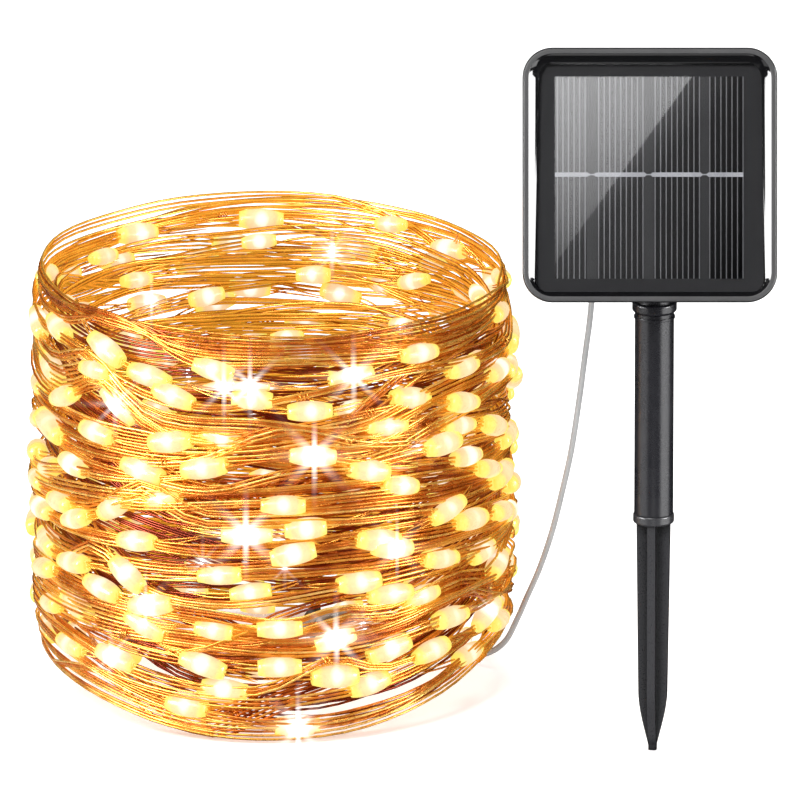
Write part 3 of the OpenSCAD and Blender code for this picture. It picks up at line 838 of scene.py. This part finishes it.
def wire_material():
    """Copper-coloured wire, warmer and brighter near the lit drops through a painted glow, with
    painted shade deeper in the winding.
    """
    m = Nodes("copper_wire")
    patch = m.noise(140, 3)
    tone = m.math("ADD", m.math("MULTIPLY", patch, 0.6),
                  m.math("MULTIPLY", m.attribute("tone"), 0.4))
    inner = m.attribute("inner")
    # painted shade: the base colour darkens the deeper a wire lies in the winding, but not on
    # faces towards the ring's inside
    painted_depth_shade = m.math("MULTIPLY", m.attribute("depth"), m.math("SUBTRACT", 1.0, inner))
    tone = m.math("SUBTRACT", tone, m.math("MULTIPLY", painted_depth_shade, 0.6))
    m.link(m.ramp(tone, [(0.0, (0.20, 0.022, 0.006)), (0.32, (0.66, 0.18, 0.020)),
                         (0.58, (0.78, 0.38, 0.060)), (0.8, (0.90, 0.60, 0.18))]),
           m.bsdf.inputs["Base Color"])
    m.link(m.remap(patch, 0.2, 0.34), m.bsdf.inputs["Roughness"])
    m.set(Metallic=0.68)
    # painted glow: the wires glow near the lit drops, less so deep in the winding
    near = m.math("MULTIPLY", m.attribute("glow"),
                  m.math("SUBTRACT", 1.0, m.math("MULTIPLY", painted_depth_shade, 0.65)))
    # painted glow also on the faces towards the ring's inside, where the inner drops shine
    painted_glow = m.math("MAXIMUM", near, m.math("MULTIPLY", m.math("POWER", inner, 0.6), 0.76))
    colour = m.ramp(painted_glow, [(0.0, (0.38, 0.05, 0.002)), (0.3, (0.61, 0.19, 0.006)),
                           (0.6, (0.75, 0.36, 0.018)), (0.8, (0.84, 0.50, 0.045)),
                           (1.0, (0.95, 0.78, 0.11))])
    m.link(colour, m.bsdf.inputs["Emission Color"])
    # strength of the painted glow, with a faint painted glow everywhere
    lit = m.math("ADD", m.math("MULTIPLY", m.math("POWER", painted_glow, 1.5), 0.93), 0.01)
    m.link(lit, m.bsdf.inputs["Emission Strength"])
    m.bump(m.noise(2600, 2), 0.15, 0.00003)
    return m.mat


def led_material():
    """Clear yellowish resin that is lit from its middle."""
    m = Nodes("led_resin")
    off = m.attribute("from_middle")
    cloud = m.noise(420, 2)
    facing = m.node("LayerWeight", {"Blend": 0.5}).outputs["Facing"]
    rim = m.math("MULTIPLY", facing, m.math("SUBTRACT", 2.0, facing))
    away = m.math("POWER", m.math("ADD", m.math("MULTIPLY", off, off),
                                  m.math("MULTIPLY", rim, 0.15)), 0.5)
    place = m.math("ADD", away, m.math("MULTIPLY", m.math("SUBTRACT", cloud, 0.5), 0.16))
    reach = m.math("SUBTRACT", place, m.math("MULTIPLY", m.attribute("hot"), 0.20))
    colour = m.ramp(reach, [(0.0, (1.0, 1.0, 1.0)), (0.20, (1.0, 0.96, 0.82)),
                            (0.36, (0.86, 0.62, 0.38)), (0.62, (0.84, 0.56, 0.28)),
                            (0.82, (0.86, 0.70, 0.15)), (1.0, (0.88, 0.70, 0.10))])
    m.link(colour, m.bsdf.inputs["Emission Color"])
    wide = m.math("POWER", m.math("ADD", m.math("MULTIPLY", off, off),
                                  m.math("MULTIPLY", rim, 0.05)), 0.5)
    core = m.math("MAXIMUM", m.math("SUBTRACT", CORE, wide), 0.0)
    spark = m.math("MULTIPLY", m.math("GREATER_THAN", m.attribute("hot"), 0.6), SPARK)
    m.node("OutputAOV", links={"Value": m.math("MULTIPLY", core, spark)}, aov_name=GLINT)
    m.set(Emission_Strength=1.0)
    m.link(m.ramp(cloud, [(0.3, (0.20, 0.15, 0.05)), (0.7, (0.26, 0.20, 0.08))]),
           m.bsdf.inputs["Base Color"])
    m.link(m.remap(cloud, 0.22, 0.4), m.bsdf.inputs["Roughness"])
    m.bump(cloud, 0.3, 0.0001)
    m.set(IOR=1.5)
    return m.mat


def cover_material():
    """Clear cover: lets everything through and mirrors a little."""
    m = Nodes("clear_cover")
    haze = m.noise(220, 3)
    m.link(m.remap(haze, 0.015, 0.03), m.bsdf.inputs["Roughness"])
    m.link(m.ramp(haze, [(0.3, (0.80, 0.81, 0.83)), (0.7, (0.86, 0.87, 0.88))]),
           m.bsdf.inputs["Base Color"])
    clear = m.node("BsdfTransparent", {"Color": (0.93, 0.93, 0.94, 1)})
    gloss = m.node("BsdfGlossy", {"Color": (1, 1, 1, 1), "Roughness": 0.015})
    share = m.node("Fresnel", {"IOR": 1.5})
    mix = m.node("MixShader",
                 links={0: share.outputs[0], 1: clear.outputs[0], 2: gloss.outputs[0]})
    m.link(mix.outputs[0], m.out.inputs["Surface"])
    return m.mat


def silicon_material():
    """Near-black polished cell."""
    m = Nodes("silicon")
    fine = m.noise(900, 2)
    m.link(m.ramp(fine, [(0.3, (0.0012, 0.0012, 0.0015)), (0.7, (0.0024, 0.0024, 0.0028))]),
           m.bsdf.inputs["Base Color"])
    m.link(m.remap(fine, 0.10, 0.16), m.bsdf.inputs["Roughness"])
    m.bump(fine, 0.02, 0.000005)
    return m.mat


def spike_material():
    """Moulded plastic with painted shade: darker down in the corners of the cross."""
    m = Nodes("spike_plastic")
    fine = m.noise(2400, 2)
    # painted shade: an occlusion node darkens the base colour in the corners of the cross
    open_sky = m.node("AmbientOcclusion", {"Distance": 0.007}, samples=8).outputs["AO"]
    tone = m.math("ADD", open_sky, m.math("MULTIPLY", m.math("SUBTRACT", fine, 0.5), 0.1))
    m.link(m.ramp(tone, [(0.45, (0.001, 0.001, 0.002)), (0.95, (0.028, 0.028, 0.031))]),
           m.bsdf.inputs["Base Color"])
    m.link(m.remap(fine, 0.26, 0.32), m.bsdf.inputs["Roughness"])
    m.bump(fine, 0.15, 0.00002)
    return m.mat


def make_materials():
    """One material for each slot of the record, and those that only the looks use."""
    return {
        "frame_plastic": moulded("frame_plastic", (0.0035, 0.0035, 0.004), (0.005, 0.005, 0.0055),
                                 (0.07, 0.11), grain=1800, depth=0.00001, strength=0.08),
        "frame_lip": moulded("frame_lip", (0.034, 0.034, 0.035), (0.042, 0.042, 0.043),
                             (0.4, 0.52), grain=1800, depth=0.00001, strength=0.1),
        "housing_plastic": moulded("housing_plastic", (0.028, 0.028, 0.030), (0.040, 0.040, 0.043),
                                   (0.42, 0.56), grain=2200, depth=0.00005),
        "stake_plastic": moulded("stake_plastic", (0.010, 0.010, 0.013), (0.016, 0.016, 0.019),
                                 (0.24, 0.32), grain=2400, depth=0.00002, strength=0.15),
        "spike_plastic": spike_material(),
        "backsheet": moulded("backsheet", (0.026, 0.026, 0.027), (0.031, 0.031, 0.032),
                             (0.45, 0.6), grain=1500, depth=0.00002),
        "seal_rubber": moulded("seal_rubber", (0.012, 0.012, 0.012), (0.022, 0.022, 0.022),
                               (0.6, 0.8), grain=1600, depth=0.00006),
        "plated_steel": moulded("plated_steel", (0.42, 0.42, 0.44), (0.62, 0.62, 0.64),
                                (0.22, 0.38), grain=3000, depth=0.00002, metallic=1.0),
        "cell_wrap": moulded("cell_wrap", (0.05, 0.16, 0.38), (0.07, 0.21, 0.46), (0.25, 0.35)),
        "board_green": moulded("board_green", (0.015, 0.10, 0.04), (0.025, 0.16, 0.06),
                               (0.3, 0.45)),
        "black_parts": moulded("black_parts", (0.015, 0.015, 0.016), (0.026, 0.026, 0.028),
                               (0.4, 0.55)),
        "wire_red": moulded("wire_red", (0.38, 0.02, 0.015), (0.5, 0.035, 0.025), (0.3, 0.45)),
        "button_red": moulded("button_red", (0.22, 0.012, 0.012), (0.30, 0.02, 0.02), (0.3, 0.42)),
        "button_grey": moulded("button_grey", (0.06, 0.06, 0.065), (0.09, 0.09, 0.10),
                               (0.35, 0.5)),
        "lead_jacket": moulded("lead_jacket", (0.30, 0.305, 0.305), (0.36, 0.365, 0.365),
                               (0.3, 0.45), grain=1500, depth=0.00004),
        "silver_print": moulded("silver_print", (0.50, 0.51, 0.53), (0.68, 0.69, 0.71),
                                (0.45, 0.6), grain=2600, depth=0.00002, metallic=0.35),
        "cell_print": moulded("cell_print", (0.42, 0.42, 0.43), (0.50, 0.50, 0.51), (0.30, 0.36),
                              grain=2600, depth=0.00001, metallic=0.8, strength=0.02),
        "silicon": silicon_material(),
        "laminate_cover": cover_material(),
        "led_resin": led_material(),
        "wound_wire": wire_material(),
    }


def paint_cad_nodes(materials):
    """Each CAD node that stays gets the material of its slot in the record."""
    for part in frame["record"]["subparts"]:
        obj = frame["nodes"][part["node"]]
        if not obj.material_slots:
            obj.data.materials.append(None)
        for slot in obj.material_slots:
            slot.material = materials[part["material_slot"]]


def finish_spike(material):
    """Softened edges, and its own material with painted shade in the corners of the cross, for the
    spike.
    """
    spike = frame["nodes"]["ground_spike"]
    for slot in spike.material_slots:
        slot.material = material
    edges = spike.modifiers.new("soft_edges", "BEVEL")
    edges.width = 0.4 * MM
    edges.segments = 2
    edges.limit_method = "ANGLE"
    edges.angle_limit = math.radians(40)
    edges.harden_normals = True


# ---------------------------------------------------------------------------- stage


def area_light(name, place, target, size, power):
    """Square soft light that points at the target."""
    data = bpy.data.lights.new(name, "AREA")
    data.energy = power
    data.size = size
    light = bpy.data.objects.new(name, data)
    light.location = place
    light.rotation_euler = (Vector(target) - Vector(place)).to_track_quat("-Z", "Y").to_euler()
    bpy.context.scene.collection.objects.link(light)
    return light


def glow_card(name, corners, levels):
    """A lit card that shows only in glossy surfaces; levels gives each corner's brightness."""
    m = Nodes(name)
    light = m.node("Emission", {"Color": (1, 1, 1, 1)}, {"Strength": m.attribute("level")})
    m.link(light.outputs[0], m.out.inputs["Surface"])
    card = add_mesh(name, corners, [list(range(len(corners)))], m.mat, smooth=False,
                    values={"level": levels})
    card.visible_camera = False
    card.visible_diffuse = False
    card.visible_shadow = False
    card.visible_transmission = False


def wall_card(name, near_angle, far_angle, low, high, near_level, far_level, away=1.4):
    """Upright card seen from the stake between two angles from -Y towards +X and two slopes."""
    corners = []
    for angle, slope in ((near_angle, low), (far_angle, low),
                         (far_angle, high), (near_angle, high)):
        a = math.radians(angle)
        corners.append((away * math.sin(a), -away * math.cos(a),
                        0.15 + away * math.tan(math.radians(slope))))
    glow_card(name, corners, [near_level, far_level, far_level, near_level])


EYE_AWAY = 6600  # mm from the camera to the panel
MIRROR_DRIFT = (0.0151, 0.0136)  # mm aside and up for each mm before the cover
COVER_FRONT = -26.65


def in_front(x, z, away=300):
    """Point that far before the panel, in line with the camera's reflection at (x, z)."""
    spread = 1 + away / EYE_AWAY
    return (x * spread + MIRROR_DRIFT[0] * away, COVER_FRONT - away,
            HEAD_MID + (z - HEAD_MID) * spread + MIRROR_DRIFT[1] * away)


def make_cards():
    """Soft boxes that only glossy surfaces see: beside the stake and panel, and before both."""
    wall_card("stake_left_card", -40, -150, -30, -8, 1.3, 0.7)
    wall_card("stake_right_card", 40, 98, -30, -8, 4.6, 2.2)
    wall_card("rim_left_card", -52, -84, 0, 24, 26, 26)
    wall_card("rim_right_card", 52, 84, 0, 24, 26, 26)
    # painted shade: a black card, seen only in gloss, that hides the coil's reflection in the
    # stake's left side
    wall_card("stake_shade", -97, -158, -68, 60, 0, 0, away=0.06)
    glow_card("spike_card", [(-0.06, -0.3, -0.09), (0.06, -0.3, -0.09), (0.06, -0.3, 0.005),
                             (-0.06, -0.3, 0.005)], [2.6, 0.9, 0.9, 2.6])
    top, left = CELL_MID + CELL_HALF, CELLS_LEFT
    corner, across, down = (left, top), (17.0, top), (left, top - 75)
    glow_card("glare_card", on_head([in_front(*corner), in_front(*across), in_front(*down)]),
              [4.9, 3.2, 1.0])
    low_left, low_right = (left, top - 81), (CELLS_RIGHT, top - 81)
    high_right = (CELLS_RIGHT, top)
    card = [in_front(*p, away=110) for p in (across, high_right, low_right, low_left, down)]
    glow_card("sheen_card", on_head(card), [0.55, 0.16, 0.0, 0.45, 0.5])


FLOOR_HALF = 30
FLOOR_Z = -0.0002  # just below the part's lowest point
LIGHTS_AIM = (-0.1, 0.05, 0.14)


def make_stage():
    """White world, pale floor, three soft lights and the cards."""
    world = bpy.data.worlds.new("studio")
    bpy.context.scene.world = world
    world.use_nodes = True
    background = world.node_tree.nodes["Background"]
    background.inputs["Color"].default_value = (1, 1, 1, 1)
    background.inputs["Strength"].default_value = 1.0
    world.cycles_visibility.glossy = False

    m = Nodes("pale_floor")
    faint = m.noise(2, 2)
    m.link(m.ramp(faint, [(0.3, (0.93, 0.93, 0.93)), (0.7, (0.95, 0.95, 0.95))]),
           m.bsdf.inputs["Base Color"])
    m.set(Roughness=0.9, Emission_Color=(1, 1, 1, 1), Emission_Strength=0.28)
    far = FLOOR_HALF
    floor = add_mesh("floor", [(-far, -far, 0), (far, -far, 0), (far, far, 0), (-far, far, 0)],
                     [[0, 1, 2, 3]], m.mat, smooth=False)
    floor.location.z = FLOOR_Z
    floor.visible_glossy = False

    area_light("key", (-0.9, -1.6, 1.6), LIGHTS_AIM, 0.7, 34)
    fill = area_light("fill", (1.3, -1.3, 0.9), LIGHTS_AIM, 0.8, 9)
    top = area_light("top", (-0.1, 0.1, 1.9), LIGHTS_AIM, 0.9, 14)
    for light in (fill, top):
        light.visible_glossy = False
    make_cards()


def make_glints():
    """Star-shaped glints on the few brightest drops."""
    scene = bpy.context.scene
    layer = bpy.context.view_layer.aovs.add()
    layer.name, layer.type = GLINT, "VALUE"
    scene.use_nodes = True
    tree = scene.node_tree
    tree.nodes.clear()
    layers = tree.nodes.new("CompositorNodeRLayers")
    star = tree.nodes.new("CompositorNodeGlare")
    star.glare_type = "STREAKS"
    star.quality = "HIGH"
    for name, value in (("Threshold", 1.0), ("Smoothness", 0.1), ("Clamp", True),
                        ("Maximum", 20.0), ("Strength", 0.65), ("Streaks", 8),
                        ("Iterations", 4), ("Fade", 0.90), ("Color Modulation", 0.0)):
        star.inputs[name].default_value = value
    both = tree.nodes.new("CompositorNodeMixRGB")
    both.blend_type = "ADD"
    out = tree.nodes.new("CompositorNodeComposite")
    tree.links.new(layers.outputs[GLINT], star.inputs["Image"])
    tree.links.new(layers.outputs["Image"], both.inputs[1])
    tree.links.new(star.outputs["Image"], both.inputs[2])
    tree.links.new(both.outputs["Image"], out.inputs["Image"])


make_camera()
materials = make_materials()
paint_cad_nodes(materials)
finish_spike(materials["spike_plastic"])
make_lead(materials["lead_jacket"])
make_light_string(materials["wound_wire"], materials["led_resin"])
make_front_frame(materials["frame_plastic"], materials["frame_lip"])
make_fingers(materials["cell_print"])
make_bus(materials["silver_print"])
make_stage()
make_glints()
bpy.context.scene.view_settings.view_transform = "Standard"
